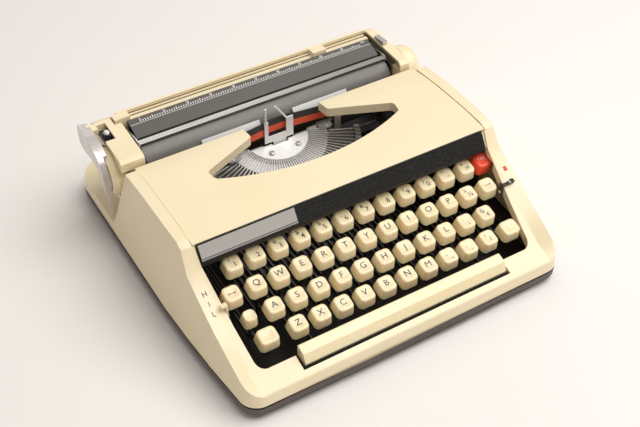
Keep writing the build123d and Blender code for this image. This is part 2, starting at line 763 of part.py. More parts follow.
def paper_table():
    """Sheet behind the platen that carries the margin scale along its top."""
    points = [(95.2, 62.0), (96.4, 62.0), (98.6, 84.0), (99.3, 94.6), (98.4, 95.0), (93.0, 93.4), (80.4, 89.3),
              (80.6, 88.3), (93.4, 92.3), (97.4, 93.6), (97.2, 84.0)]
    return prism(points, -table_half, table_half)


def margin_rack():
    half = plate_inner - bearing_gap
    return block(-half, half, rack_y + 6.2, rack_y + 10.2, rack_z, rack_z + 3)


def margin_stop(x):
    """Cream stop that slides on the rack."""
    stop = block(x - stop_width / 2, x + stop_width / 2, rack_y + 4.6, rack_y + 12.2, rack_z - 2, 98.0)
    stop -= block(x - stop_width, x + stop_width, rack_y + 6.1, rack_y + 10.3, rack_z - 0.1, rack_z + 3.1)
    return stop


def carriage_back_cover():
    """Cream strip along the rear of the carriage."""
    points = [(110.0, 96.5), (112.6, 96.5), (118.0, 76.0), (118.0, 44.0), (116.0, 44.0), (116.0, 76.0), (111.2, 93.2),
              (110.0, 93.2)]
    return prism(points, -plate_inner - side_thick, plate_inner + side_thick)


def carriage_release_lever():
    """Bright lever at the right end of the carriage."""
    lever = prism([(82, 96.0), (96, 96.2), (96, 97.6), (82, 99.0)], 119.5, 124.0)
    return lever + rod_z(1.5, *release_pivot, 92.0, 97.0)


def return_lever():
    """Long folded lever that feeds the line and returns the carriage."""
    x0 = -lever_outer
    top = [(109, 98.2), (104, 98.2), (92, 97.6), (79, 95.2), (71.0, 91.4)]
    low = [(71.0, 89.4), (79, 93.2), (92, 95.8), (104, 96.3), (109, 96.3)]
    strip = fillet(prism(top + low, x0, -lever_inner).edges().filter_by(Axis.Z).sort_by(Axis.Y)[-1:], 3.5)
    side = [(110, 98.2), *top[1:], (66.5, 86.8), (63.6, 80.0), (63.6, 58.0), (65.4, 57.0), (66.6, 66.0), (70.0, 73.6),
            (80.0, 80.4), (97.7, 78.4), (106.0, 78.0), (111.0, 81.5), (112.0, 88.0), (111.5, 95.0)]
    front = [(71.0, 91.4), (66.5, 86.8), (63.6, 80.0), (63.6, 58.0), (65.4, 57.0), (65.4, 79.6), (68.0, 85.6), (71.6, 89.4)]
    finger = [(63.6, 60.0), (64.6, 41.0), (67.4, 32.5), (69.2, 32.5), (66.7, 41.0), (65.4, 60.0)]
    lever = strip + prism(side, x0, x0 + lever_sheet) + prism(front, x0, -lever_front)
    lever += prism(finger, x0 + lever_sheet, -lever_front - 0.4)
    return lever - rod_z(2.0 + running_fit, *lever_pivot, 90, 100)


def touch_lever():
    """Small lever on a pin at the left edge of the well."""
    y, z = touch_pivot
    near, far = cheek_lever_x
    lever = block(-far, -near, y - 2, y + 2, z - 2.5, 61) + block(-128.2, -near, y - 2, y + 2, 59.4, 61)
    return lever - rod_x(cheek_pin + running_fit, -far - 1, -near + 1, y, z)


def ribbon_selector():
    """Black arm on a pin at the right edge of the well, lying over the cheek."""
    y, z = selector_pivot
    near, far = cheek_lever_x
    lever = block(near, far, y - 3, y + 3, z - 2.5, 59.5)
    lever += prism([(-89.5, 56.4), (-81.0, 61.8), (-81.0, 63.2), (-89.5, 57.8)], near, 134.5)
    return lever - rod_x(cheek_pin + running_fit, near - 1, far + 1, y, z)


def main():
    os.makedirs("parts", exist_ok=True)
    others = [k for k in range(-22, 22) if k != 0]
    nodes = {
        "base_tray": base_tray(),
        "rubber_feet": rubber_feet(),
        "base_screws": base_screws(),
        "body_shell": body_shell(),
        "ribbon_cover": ribbon_cover(),
        "trim_panel": trim_panel(),
        "name_plate": name_plate(),
        "number_row_keys": row_keys(number_row),
        "upper_row_keys": row_keys(upper_row),
        "home_row_keys": row_keys(home_row),
        "lower_row_keys": row_keys(lower_row, center_column),
        "center_key": row_keys(lower_row)[center_column],
        "number_row_levers": row_levers(number_row),
        "upper_row_levers": row_levers(upper_row),
        "home_row_levers": row_levers(home_row),
        "lower_row_levers": row_levers(lower_row, center_column),
        "center_key_lever": row_levers(lower_row)[center_column],
        "tab_key": key_cap(tab_x, number_row[1], number_row[2], lever_x=tab_lever_x),
        "tab_lever": key_lever(tab_lever_x, number_row[1], number_row[2]),
        "backspace_key": key_cap(*backspace_place),
        "backspace_lever": key_lever(*backspace_place),
        "margin_release_key": key_cap(*margin_release_place),
        "margin_release_lever": key_lever(*margin_release_place),
        "shift_lock_key": key_cap(*lock_place, width=lock_width, depth=lock_depth),
        "shift_lock_lever": key_lever(*lock_place),
        "shift_keys": shift_keys(),
        "shift_levers": shift_levers(),
        "space_bar": space_bar(),
        "space_bar_arms": space_bar_arms(),
        "key_lever_shaft": key_lever_shaft(),
        "chassis": chassis(),
        "mainspring_drum": mainspring_drum(),
        "type_segment": type_segment(),
        "segment_plate": segment_plate(),
        "typebars": typebars(others),
        "center_typebar": typebars([0]),
        "card_holder": card_holder(),
        "ribbon_vibrator": ribbon_vibrator(),
        "ribbon": ribbon(),
        "left_spool": ribbon_spool(-1),
        "right_spool": ribbon_spool(1),
        "carriage_rail": carriage_rail(),
        "carriage_frame": carriage_frame(),
        "left_end_cap": left_end_cap(),
        "right_end_cap": right_end_cap(),
        "line_space_selector": line_space_selector(),
        "platen": platen(),
        "platen_axle": platen_axle(),
        "platen_knobs": [knob(-1), knob(1)],
        "knob_button": knob_button(),
        "paper_bail": paper_bail(),
        "paper_table": paper_table(),
        "margin_rack": margin_rack(),
        "left_margin_stop": margin_stop(left_stop_x),
        "right_margin_stop": margin_stop(right_stop_x),
        "carriage_back_cover": carriage_back_cover(),
        "carriage_release_lever": carriage_release_lever(),
        "return_lever": return_lever(),
        "touch_lever": touch_lever(),
        "ribbon_selector": ribbon_selector(),
    }
    for name, shape in nodes.items():
        solids = shape if isinstance(shape, list) else shape.solids()
        solids = [solid for item in solids for solid in item.solids()]
        export_step(Compound(children=solids), f"parts/{name}.step")


if __name__ == "__main__":
    main()
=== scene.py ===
import json
import math

import bmesh
import bpy
from mathutils import Matrix, Vector


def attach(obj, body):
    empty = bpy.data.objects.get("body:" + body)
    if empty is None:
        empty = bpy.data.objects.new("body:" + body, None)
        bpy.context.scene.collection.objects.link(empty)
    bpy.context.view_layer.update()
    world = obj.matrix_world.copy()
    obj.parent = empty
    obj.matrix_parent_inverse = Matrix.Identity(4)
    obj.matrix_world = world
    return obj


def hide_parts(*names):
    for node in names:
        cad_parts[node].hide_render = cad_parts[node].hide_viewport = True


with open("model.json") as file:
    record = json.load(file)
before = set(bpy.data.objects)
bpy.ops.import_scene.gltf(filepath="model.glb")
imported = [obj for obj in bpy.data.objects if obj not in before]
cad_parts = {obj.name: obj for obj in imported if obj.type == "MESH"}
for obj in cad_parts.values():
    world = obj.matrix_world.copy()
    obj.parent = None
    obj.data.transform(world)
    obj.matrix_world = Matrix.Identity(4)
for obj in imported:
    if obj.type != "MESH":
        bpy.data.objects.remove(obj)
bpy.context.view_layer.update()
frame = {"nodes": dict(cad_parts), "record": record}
nodes = frame["nodes"]
mm = 0.001
print("frame loaded:", len(nodes), "nodes")


# shader maths as expressions: a Val is a socket, and each operator adds its node
class Val:
    def __init__(self, tree, socket):
        self.tree = tree
        self.socket = socket

    def math(self, kind, left, right):
        node = self.tree.nodes.new("ShaderNodeMath")
        node.operation = kind
        for i, value in enumerate((left, right)):
            if isinstance(value, Val):
                self.tree.links.new(value.socket, node.inputs[i])
            else:
                node.inputs[i].default_value = value
        return Val(self.tree, node.outputs[0])

    def __add__(self, other):
        return self.math("ADD", self, other)

    def __radd__(self, other):
        return self.math("ADD", other, self)

    def __sub__(self, other):
        return self.math("SUBTRACT", self, other)

    def __rsub__(self, other):
        return self.math("SUBTRACT", other, self)

    def __mul__(self, other):
        return self.math("MULTIPLY", self, other)

    def __rmul__(self, other):
        return self.math("MULTIPLY", other, self)

    def __gt__(self, other):
        return self.math("GREATER_THAN", self, other)

    def __lt__(self, other):
        return self.math("LESS_THAN", self, other)


class Finish:
    def __init__(self, name):
        self.material = bpy.data.materials.new(name)
        self.material.use_nodes = True
        self.tree = self.material.node_tree
        self.tree.nodes.clear()
        out = self.tree.nodes.new("ShaderNodeOutputMaterial")
        self.shader = self.tree.nodes.new("ShaderNodeBsdfPrincipled")
        self.tree.links.new(self.shader.outputs[0], out.inputs[0])
        self.here = self.add("ShaderNodeTexCoord", out="Object")

    def feed(self, socket, value):
        if isinstance(value, Val):
            self.tree.links.new(value.socket, socket)
        else:
            socket.default_value = value

    def add(self, kind, settings=None, inputs=None, out=0):
        node = self.tree.nodes.new(kind)
        for key, value in (settings or {}).items():
            setattr(node, key, value)
        for key, value in (inputs or {}).items():
            self.feed(node.inputs[key], value)
        return Val(self.tree, node.outputs[out])

    def noise(self, scale, detail, where=None, out=0):
        inputs = {"Vector": where or self.here, "Scale": scale, "Detail": detail}
        return self.add("ShaderNodeTexNoise", inputs=inputs, out=out)

    def streaks(self, stretch, detail):
        # noise drawn out along the axis with the smallest stretch
        where = self.add("ShaderNodeMapping", inputs={"Vector": self.here, "Scale": stretch})
        return self.noise(1.0, detail, where)

    def axis(self, name):
        return self.add("ShaderNodeSeparateXYZ", inputs={0: self.here}, out=name)

    def mix(self, mask, low, high):
        low, high = (color if isinstance(color, Val) else (*color, 1) for color in (low, high))
        return self.add("ShaderNodeMix", {"data_type": "RGBA"}, {0: mask, 6: low, 7: high}, out=2)

    def spread(self, value, low, high):
        # noise swings around its middle: this holds it between two numbers
        inputs = {"Value": value, "From Min": 0.3, "From Max": 0.7, "To Min": low, "To Max": high}
        return self.add("ShaderNodeMapRange", inputs=inputs)

    def drift(self, value, color, shade):
        # a colour that wanders to its shade
        return self.mix(self.spread(value, 0.0, 1.0), color, shade)

    def bump(self, height, strength, distance):
        inputs = {"Height": height, "Strength": strength, "Distance": distance}
        return self.add("ShaderNodeBump", inputs=inputs)

    def set(self, **values):
        for key, value in values.items():
            self.feed(self.shader.inputs[key.replace("_", " ")], value)
        return self.material


def plastic(name, color, shade, rough=(0.3, 0.42), grain=900, coat=0.25, glow=0.0):
    f = Finish(name)
    cloud = f.noise(14, 4)
    speck = f.noise(grain, 2)
    return f.set(Base_Color=f.drift(cloud, color, shade), Roughness=f.spread(speck + cloud * 0.4 - 0.2, *rough),
                 Coat_Weight=coat, Coat_Roughness=0.25, Subsurface_Weight=glow, Subsurface_Scale=0.006,
                 Normal=f.bump(speck, 0.06, 0.0002))


def metal(name, color, shade, rough=(0.2, 0.35), stretch=(30, 900, 900), bumpSize=0.05):
    f = Finish(name)
    lines = f.streaks(stretch, 3)
    cloud = f.noise(22, 3)
    return f.set(Base_Color=f.drift(lines * 0.6 + cloud * 0.4, color, shade), Metallic=1.0,
                 Roughness=f.spread(lines * 0.5 + cloud * 0.5, *rough), Normal=f.bump(lines, bumpSize, 0.0002))


def satin(name, color, shade, rough, metallic):
    # plated steel that reads as an even pale sheet
    f = Finish(name)
    cloud = f.noise(30, 3)
    wear = f.noise(700, 3)
    return f.set(Base_Color=f.drift(cloud * 0.7 + wear * 0.3, color, shade), Metallic=metallic,
                 Roughness=f.spread(wear, *rough), Coat_Weight=0.3, Coat_Roughness=0.2,
                 Normal=f.bump(wear, 0.03, 0.0001))


def grained(name, color, shade, cell, rough):
    # leather-like grain pressed in the plastic: cells with creases between them
    f = Finish(name)
    wobble = f.noise(cell * 0.7, 2, out="Color")
    bent = f.add("ShaderNodeVectorMath", {"operation": "MULTIPLY_ADD"},
                 {0: wobble, 1: (0.0012, 0.0012, 0.0012), 2: f.here})
    cells = f.add("ShaderNodeTexVoronoi", {"feature": "SMOOTH_F1"},
                  {"Vector": bent, "Scale": cell, "Smoothness": 0.5})
    fine = f.noise(cell * 3, 2)
    height = 1.0 - cells + fine * 0.3
    return f.set(Base_Color=f.drift(cells, color, shade), Roughness=f.spread(fine, *rough),
                 Specular_IOR_Level=0.25, Normal=f.bump(height, 0.8, 0.0006))


def twoColour(name, dark, red, split):
    # cloth ribbon: black above a height and red below it, with a faint weave
    f = Finish(name)
    weave = f.noise(2600, 2)
    cloud = f.noise(60, 3)
    tone = f.mix(f.axis("Z") > split, red, dark)
    tone = f.mix(f.spread(weave, 0.0, 0.25), tone, (0.16, 0.15, 0.14))
    return f.set(Base_Color=tone, Roughness=f.spread(cloud, 0.55, 0.75), Normal=f.bump(weave, 0.3, 0.0002))


def rubber(name, color, shade):
    f = Finish(name)
    cloud = f.noise(9, 4)
    scuff = f.streaks((40, 380, 380), 4)
    return f.set(Base_Color=f.drift(scuff * 0.6 + cloud * 0.4, color, shade),
                 Roughness=f.spread(cloud, 0.36, 0.5), Normal=f.bump(f.noise(1400, 2), 0.12, 0.0002))


def flat(name, color, rough=0.4):
    # print on another surface, a little uneven as ink is
    f = Finish(name)
    shade = tuple(c * 0.8 for c in color)
    return f.set(Base_Color=f.drift(f.noise(1800, 2), color, shade), Roughness=rough)


def trayFinish(name, color, shade, groove, inside):
    # the joint with the casing lies in a groove; the groove and the floor inside are painted black as shade
    f = Finish(name)
    across, along, height = (f.axis(letter) for letter in "XYZ")
    # painted shade: the tray's floor inside the casing is made near black
    floorShadeMask = (height < inside["top"]) * (across * across < inside["half"] ** 2) * (along > inside["front"])
    speck = f.noise(1200, 2)
    tone = f.drift(f.noise(14, 4), color, shade)
    # painted shadow in the groove: everything above the groove's height is black
    tone = f.mix(height > groove, tone, (0.006, 0.005, 0.005))
    tone = f.mix(floorShadeMask, tone, (0.008, 0.008, 0.007))
    return f.set(Base_Color=tone, Roughness=f.spread(speck, 0.34, 0.5), Normal=f.bump(speck, 0.15, 0.0002))


cream = plastic("creamCasing", (0.93, 0.81, 0.56), (0.90, 0.77, 0.51))
keyCream = plastic("keyCream", (0.96, 0.82, 0.55), (0.93, 0.78, 0.50), (0.24, 0.36), 600, 0.35, 0.4)
keyRed = plastic("keyRed", (1.0, 0.11, 0.05), (0.97, 0.09, 0.04), (0.22, 0.34), 600, 0.4, 0.3)
scaleWhite = plastic("scaleWhite", (0.84, 0.84, 0.82), (0.78, 0.78, 0.76), (0.25, 0.35), coat=0.5)
spoolBlack = plastic("spoolBlack", (0.03, 0.03, 0.03), (0.05, 0.05, 0.05), coat=0.1)
tableDark = plastic("tableDark", (0.105, 0.096, 0.086), (0.09, 0.083, 0.075), (0.3, 0.45), coat=0.2)
stripOlive = plastic("stripOlive", (0.88, 0.76, 0.52), (0.82, 0.71, 0.48), (0.2, 0.3), coat=0.5)
buttonWhite = plastic("buttonWhite", (0.86, 0.85, 0.83), (0.80, 0.79, 0.77), coat=0.4)

trayDark = trayFinish("trayDark", (0.105, 0.082, 0.072), (0.075, 0.06, 0.054), 0.0121,
                      {"top": 0.0075, "half": 0.13416, "front": -0.146})
trimBlack = grained("trimBlack", (0.007, 0.007, 0.007), (0.018, 0.018, 0.017), 620, (0.26, 0.42))
footBlack = rubber("footBlack", (0.03, 0.03, 0.03), (0.05, 0.05, 0.05))
platenRubber = rubber("platenRubber", (0.15, 0.141, 0.128), (0.20, 0.187, 0.17))
ribbonInk = twoColour("ribbonInk", (0.03, 0.028, 0.026), (1.0, 0.12, 0.045), 0.0743)

plateSilver = metal("plateSilver", (0.90, 0.88, 0.85), (0.78, 0.76, 0.73), (0.32, 0.42), (14, 1400, 1400), 0.08)
leverSteel = metal("leverSteel", (0.20, 0.19, 0.18), (0.10, 0.10, 0.10), (0.35, 0.5), (900, 30, 900))
frameSteel = metal("frameSteel", (0.30, 0.30, 0.30), (0.18, 0.18, 0.18), (0.35, 0.55), (60, 60, 60))
railSteel = metal("railSteel", (0.42, 0.42, 0.42), (0.30, 0.30, 0.30), (0.25, 0.4))
bailSilver = metal("bailSilver", (0.80, 0.79, 0.77), (0.68, 0.67, 0.65), (0.25, 0.38), (20, 900, 900))
typeSteel = satin("typeSteel", (0.72, 0.71, 0.69), (0.58, 0.57, 0.55), (0.3, 0.42), 0.6)
segmentSteel = satin("segmentSteel", (0.84, 0.83, 0.81), (0.74, 0.73, 0.71), (0.3, 0.42), 0.45)
segmentBright = satin("segmentBright", (0.96, 0.96, 0.95), (0.93, 0.93, 0.92), (0.26, 0.36), 0.15)
leverGrey = satin("leverGrey", (0.68, 0.64, 0.62), (0.60, 0.565, 0.55), (0.28, 0.4), 0.6)

inkBlack = flat("inkBlack", (0.02, 0.018, 0.016))
inkGrey = flat("inkGrey", (0.22, 0.21, 0.20))
inkWhite = flat("inkWhite", (0.85, 0.85, 0.83))
inkRed = flat("inkRed", (0.80, 0.06, 0.03))
inkBrown = flat("inkBrown", (0.36, 0.12, 0.06))
print("finishes made")


def placed(place, degrees=0.0, axis="X"):
    return Matrix.Translation(place) @ Matrix.Rotation(math.radians(degrees), 4, axis)


def keep(bm, name, body, material, standsFor=(), soft=35.0, scale=mm, slot=None, second=None):
    # turns a bmesh in millimetres into a piece of the object that rides on a body
    if scale != 1:
        bmesh.ops.scale(bm, verts=bm.verts, vec=(scale, scale, scale))
    mesh = bpy.data.meshes.new(name)
    bm.to_mesh(mesh)
    bm.free()
    mesh.materials.append(material)
    if second:
        mesh.materials.append(second)
    mesh.shade_smooth()
    mesh.set_sharp_from_angle(angle=math.radians(soft))
    piece = bpy.data.objects.new(name, mesh)
    bpy.context.scene.collection.objects.link(piece)
    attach(piece, body)
    if standsFor:
        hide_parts(*standsFor)
    return piece


def join(bm, part):
    # puts a finished part into the piece that it belongs to
    mesh = bpy.data.meshes.new("part")
    part.to_mesh(mesh)
    part.free()
    bm.from_mesh(mesh)
    bpy.data.meshes.remove(mesh)


def slab(bm, low, high, material=0):
    made = bmesh.ops.create_cube(bm, size=1.0)["verts"]
    size = [high[i] - low[i] for i in range(3)]
    bmesh.ops.scale(bm, verts=made, vec=size)
    bmesh.ops.translate(bm, verts=made, vec=[(high[i] + low[i]) / 2 for i in range(3)])
    for face in {f for v in made for f in v.link_faces}:
        face.material_index = material
    return made


def patch(bm, middle, along, across):
    # one flat face, spanned by two directions around its middle
    along, across = Vector(along), Vector(across)
    span = Matrix((along, across, along.cross(across))).transposed().to_4x4()
    bmesh.ops.create_grid(bm, x_segments=1, y_segments=1, size=0.5, matrix=Matrix.Translation(middle) @ span)


def turnUp(bm):
    # flat marks face upwards
    for face in bm.faces:
        face.normal_update()
        if face.normal.z < 0:
            face.normal_flip()


def topFace(bm):
    return max(bm.faces, key=lambda face: face.calc_center_median().z)


def edgesAlong(bm, axis, least):
    # edges whose ends lie further apart than the least length on an axis
    return [e for e in bm.edges if abs(e.verts[0].co[axis] - e.verts[1].co[axis]) > least]


def roundEdges(bm, edges, width, steps):
    bmesh.ops.bevel(bm, geom=edges, offset=width, segments=steps, profile=0.5, affect="EDGES", material=-1)


def words(bm, text, size, matrix, shape=None, weight=0.0):
    # flat letters as a mesh, laid on a surface by a function of x and y, then put in place
    curve = bpy.data.curves.new("words", "FONT")
    curve.body = text
    curve.size = size
    curve.offset = weight
    curve.align_x = "CENTER"
    curve.align_y = "CENTER"
    curve.resolution_u = 3
    holder = bpy.data.objects.new("words", curve)
    mesh = bpy.data.meshes.new_from_object(holder)
    if shape:
        for v in mesh.vertices:
            v.co.z = shape(v.co.x, v.co.y)
    mesh.transform(matrix)
    bm.from_mesh(mesh)
    bpy.data.objects.remove(holder)
    bpy.data.meshes.remove(mesh)


softEdge = {"merge": 2e-6, "flat": 1.5, "sharp": 28.0, "smooth": 30.0}


def softened(node, name, material, width, steps=3):
    # a copy of a CAD node with its sharp edges rounded
    body = next(b for b, members in frame["record"]["behaviour"]["bodies"].items() if node in members)
    bm = bmesh.new()
    bm.from_mesh(nodes[node].data)
    bmesh.ops.remove_doubles(bm, verts=bm.verts, dist=softEdge["merge"])
    bmesh.ops.dissolve_limit(bm, angle_limit=math.radians(softEdge["flat"]), verts=bm.verts, edges=bm.edges)
    piece = keep(bm, name, body, material, (node,), soft=softEdge["smooth"], scale=1)
    edge = piece.modifiers.new("edges", "BEVEL")
    edge.width = width * mm
    edge.segments = steps
    edge.limit_method = "ANGLE"
    edge.angle_limit = math.radians(softEdge["sharp"])
    edge.harden_normals = True


# CAD nodes that stay as they are, with their finishes
painted = {
    "rubber_feet": footBlack, "base_screws": leverSteel, "chassis": frameSteel, "key_lever_shaft": railSteel,
    "number_row_levers": leverSteel, "upper_row_levers": leverSteel, "home_row_levers": leverSteel,
    "lower_row_levers": leverSteel, "center_key_lever": leverSteel, "tab_lever": leverSteel,
    "backspace_lever": leverSteel, "margin_release_lever": leverSteel, "shift_lock_lever": leverSteel,
    "shift_levers": leverSteel, "space_bar_arms": leverSteel, "mainspring_drum": railSteel,
    "type_segment": segmentSteel, "segment_plate": segmentBright, "typebars": typeSteel,
    "center_typebar": typeSteel, "card_holder": scaleWhite, "ribbon_vibrator": segmentBright,
    "ribbon": ribbonInk, "left_spool": spoolBlack, "right_spool": spoolBlack, "carriage_rail": railSteel,
    "carriage_frame": frameSteel, "platen": platenRubber, "platen_axle": railSteel, "knob_button": buttonWhite,
    "paper_bail": bailSilver, "paper_table": tableDark, "margin_rack": stripOlive, "left_margin_stop": cream,
    "right_margin_stop": cream, "carriage_release_lever": typeSteel, "touch_lever": cream,
    "trim_panel": trimBlack, "name_plate": plateSilver,
}
for nodeName, material in painted.items():
    nodes[nodeName].data.materials.clear()
    nodes[nodeName].data.materials.append(material)
print("plain nodes painted")

# casing, cover, caps and knobs: the CAD forms with rounded edges
casing = {"edge": 2.4, "coverEdge": 1.3, "trayEdge": 0.6, "capEdge": 1.9, "backEdge": 0.8, "knobEdge": 0.8,
          "leverEdge": 0.5}
softened("body_shell", "casing", cream, casing["edge"])
softened("ribbon_cover", "coverLid", cream, casing["coverEdge"])
softened("base_tray", "trayBase", trayDark, casing["trayEdge"], 2)
softened("left_end_cap", "capLeft", cream, casing["capEdge"])
softened("right_end_cap", "capRight", cream, casing["capEdge"])
softened("carriage_back_cover", "backCover", cream, casing["backEdge"])
softened("platen_knobs", "knobs", cream, casing["knobEdge"])
softened("return_lever", "returnArm", leverGrey, casing["leverEdge"], 2)
print("casing rounded")

# key caps: one rounded cap for each place, dished on top and leaning to the typist
keyShape = {"width": 14.8, "depth": 15.4, "height": 9.6, "lift": 2.8, "top": 12.9, "topDepth": 13.1,
            "tilt": 14.0, "corner": 3.6, "rim": 1.3, "dish": 0.7, "dishReach": 5.4,
            "dishRings": (0.85, 0.8, 0.7, 0.5)}
keyPitch = 19.05
keyRows = {
    "number": {"start": (-103.4, -59.7, 63.6),
               "marks": ["!1", '"2', "#3", "$4", "%5", "_6", "&7", "'8", "(9", ")0", "*-", "+="]},
    "upper": {"start": (-93.85, -78.1, 54.0), "marks": [*"QWERTYUIOP", "¼½"]},
    "home": {"start": (-89.2, -95.9, 44.7), "marks": [*"ASDFGHJKL", ":;", "@¢"]},
    "lower": {"start": (-79.6, -113.4, 36.5), "marks": [*"ZXCVBNM", ",,", "..", "?/"]},
}
centerColumn = 4
# place and size of the signs: alone, as an upper and a lower one, or the same one twice
legends = {"one": ((0.0, 0.4, 7.2),), "two": ((-1.6, 2.7, 4.8), (1.3, -1.5, 5.9)),
           "twice": ((-1.6, 2.2, 5.6), (1.6, -1.6, 5.6)), "lift": 0.05, "weight": 0.03}


def dishHeight(x, y):
    return -keyShape["dish"] * max(0.0, 1 - (x * x + y * y) / keyShape["dishReach"] ** 2)


def capAt(bm, place, width=keyShape["width"], depth=keyShape["depth"]):
    wide, deep = width / 2, depth / 2
    topWide = wide - (keyShape["width"] - keyShape["top"]) / 2
    topDeep = deep - (keyShape["depth"] - keyShape["topDepth"]) / 2
    part = bmesh.new()
    bmesh.ops.create_cube(part, size=2.0)
    for v in part.verts:
        up = v.co.z > 0
        v.co.x *= topWide if up else wide
        v.co.y *= topDeep if up else deep
        v.co.z = 0 if up else -keyShape["height"]
    roundEdges(part, edgesAlong(part, 2, 1), keyShape["corner"], 5)
    roundEdges(part, list(topFace(part).edges), keyShape["rim"], 4)
    lid = topFace(part)
    for share in keyShape["dishRings"]:
        bmesh.ops.inset_individual(part, faces=[lid], thickness=0.01, depth=0)
        bmesh.ops.scale(part, verts=lid.verts, vec=(share, share, 1))
    for v in part.verts:
        if v.co.z > -0.01:
            v.co.z = dishHeight(v.co.x, v.co.y)
    turn = placed((place[0], place[1], place[2] + keyShape["lift"]), keyShape["tilt"])
    part.transform(turn)
    join(bm, part)
    return turn


def capMarks(bm, marks, turn):
    layout = "one" if len(marks) == 1 else "twice" if marks[0] == marks[1] else "two"
    for sign, (x, y, size) in zip(marks, legends[layout]):
        # the M's strokes close up when they are thickened
        words(bm, sign, size, turn @ placed((x, y, 0)),
              lambda u, v: dishHeight(u + x, v + y) + legends["lift"],
              weight=0.0 if sign == "M" else legends["weight"])


for name, row in keyRows.items():
    body = name + "_row"
    caps, marks = bmesh.new(), bmesh.new()
    x, y, z = row["start"]
    for i, signs in enumerate(row["marks"]):
        place = (x + i * keyPitch, y, z)
        if name == "lower" and i == centerColumn:
            own, ownMarks = bmesh.new(), bmesh.new()
            capMarks(ownMarks, signs, capAt(own, place))
            keep(own, "keyCenter", "center", keyCream, ("center_key",))
            keep(ownMarks, "keyCenterMark", "center", inkBlack, slot="key_cream")
        else:
            capMarks(marks, signs, capAt(caps, place))
    keep(caps, name + "Caps", body, keyCream, (body + "_keys",))
    keep(marks, name + "Marks", body, inkBlack, slot="key_cream")

# keys with a finish, a size or a sign of their own
specialKeys = {
    "tab_key": {"place": (123.0, -59.7, 63.6), "body": "tab", "finish": keyRed, "text": "TAB"},
    "backspace_key": {"place": (115.7, -78.1, 54.0), "body": "backspace", "heads": (1,)},
    "margin_release_key": {"place": (-114.0, -78.1, 54.0), "body": "margin_release", "heads": (-1, 1)},
    "shift_lock_key": {"place": (-109.0, -94.6, 43.4), "body": "shift_lock", "size": (11.6, 12.0)},
}
keyText = {"y": 1.2, "size": 3.6}
arrow = {"line": 5.2, "thick": 0.44, "base": 2.2, "tip": 4.2, "half": 1.0, "lift": 0.06}
shiftKeys = {"places": ((-104.2, -112.3, 36.5), (113.7, -112.3, 36.5)), "width": 16.5}
spaceBar = {"edge": 1.0, "steps": 4}


def arrowMark(bm, turn, sides):
    # a line with a head at one end or both, lying in the dish
    part = bmesh.new()
    patch(part, (0, 0, 0), (arrow["line"], 0, 0), (0, arrow["thick"], 0))
    length = arrow["tip"] - arrow["base"]
    for side in sides:
        # a round of three corners is a triangle 1.5 long and sqrt 3 wide
        size = Matrix.Diagonal((arrow["half"] * 2 / math.sqrt(3), length / 1.5, 1, 1))
        head = placed((side * (arrow["base"] + length / 3), 0, 0), -90 * side, "Z") @ size
        bmesh.ops.create_circle(part, cap_ends=True, segments=3, radius=1.0, matrix=head)
    bmesh.ops.subdivide_edges(part, edges=part.edges, cuts=2, use_grid_fill=True)
    for v in part.verts:
        v.co.z = dishHeight(v.co.x, v.co.y) + arrow["lift"]
    part.transform(turn)
    join(bm, part)


for node, key in specialKeys.items():
    name = node.replace("_", "")
    cap = bmesh.new()
    turn = capAt(cap, key["place"], *key.get("size", ()))
    keep(cap, name + "Cap", key["body"], key.get("finish", keyCream), (node,))
    if "text" in key:
        mark = bmesh.new()
        words(mark, key["text"], keyText["size"], turn @ placed((0, keyText["y"], 0)),
              lambda u, v: dishHeight(u, v + keyText["y"]) + legends["lift"])
        keep(mark, name + "Mark", key["body"], inkWhite, slot="key_red")
    if "heads" in key:
        mark = bmesh.new()
        arrowMark(mark, turn, key["heads"])
        keep(mark, name + "Mark", key["body"], inkBlack, slot="key_cream")

shiftCaps = bmesh.new()
for place in shiftKeys["places"]:
    capAt(shiftCaps, place, shiftKeys["width"])
keep(shiftCaps, "shiftCaps", "shift", keyCream, ("shift_keys",))
softened("space_bar", "spaceBar", keyCream, spaceBar["edge"], spaceBar["steps"])
print("keys made")

# ruled scales: where the marks run in x, and where one starts and ends in y and z
ruling = {"step": 2.117, "group": 5}
bailScale = {"from": -112.0, "to": 112.0, "start": (72.6, 90.04), "end": (75.2, 90.04), "wide": 0.28,
             "longer": 1.25}
tableScale = {"from": -104.0, "to": 104.0, "start": (93.9, 93.74), "end": (95.7, 94.28), "wide": 0.85,
              "longer": 1.4, "line": ((-113.4, 92.7, 93.34), (113.4, 93.2, 93.5))}
numerals = {"count": 11, "step": 21.17, "place": (97.0, 94.67), "size": 2.9, "rise": 1.6 / 5.4, "weight": 0.03}
cardScale = {"from": 17.0, "to": 66.5, "axis": (77.0, 70.0), "radius": 20.95, "top": math.radians(35.5),
             "turn": 0.11, "wide": 0.42, "longer": 1.6}


def ticks(bm, scale):
    start, end = (Vector((0, *scale[key])) for key in ("start", "end"))
    count = int((scale["to"] - scale["from"]) / ruling["step"])
    for i in range(count + 1):
        reach = (end - start) * (scale["longer"] if i % ruling["group"] == 0 else 1.0)
        middle = start + reach / 2
        middle.x = scale["from"] + i * ruling["step"]
        patch(bm, middle, (scale["wide"], 0, 0), reach)


def onCard(angle):
    return (cardScale["axis"][0] - cardScale["radius"] * math.cos(angle),
            cardScale["axis"][1] + cardScale["radius"] * math.sin(angle))


bailMarks = bmesh.new()
ticks(bailMarks, bailScale)
keep(bailMarks, "bailMarks", "bail", inkGrey, slot="scale_white")

tableMarks = bmesh.new()
ticks(tableMarks, tableScale)
slab(tableMarks, *tableScale["line"])
for i in range(numerals["count"]):
    place = (tableScale["from"] + i * numerals["step"], *numerals["place"])
    lean = placed(place, math.degrees(math.atan(numerals["rise"])))
    words(tableMarks, str(i * 10), numerals["size"], lean, weight=numerals["weight"])
keep(tableMarks, "tableMarks", "carriage", inkWhite, slot="table_dark")

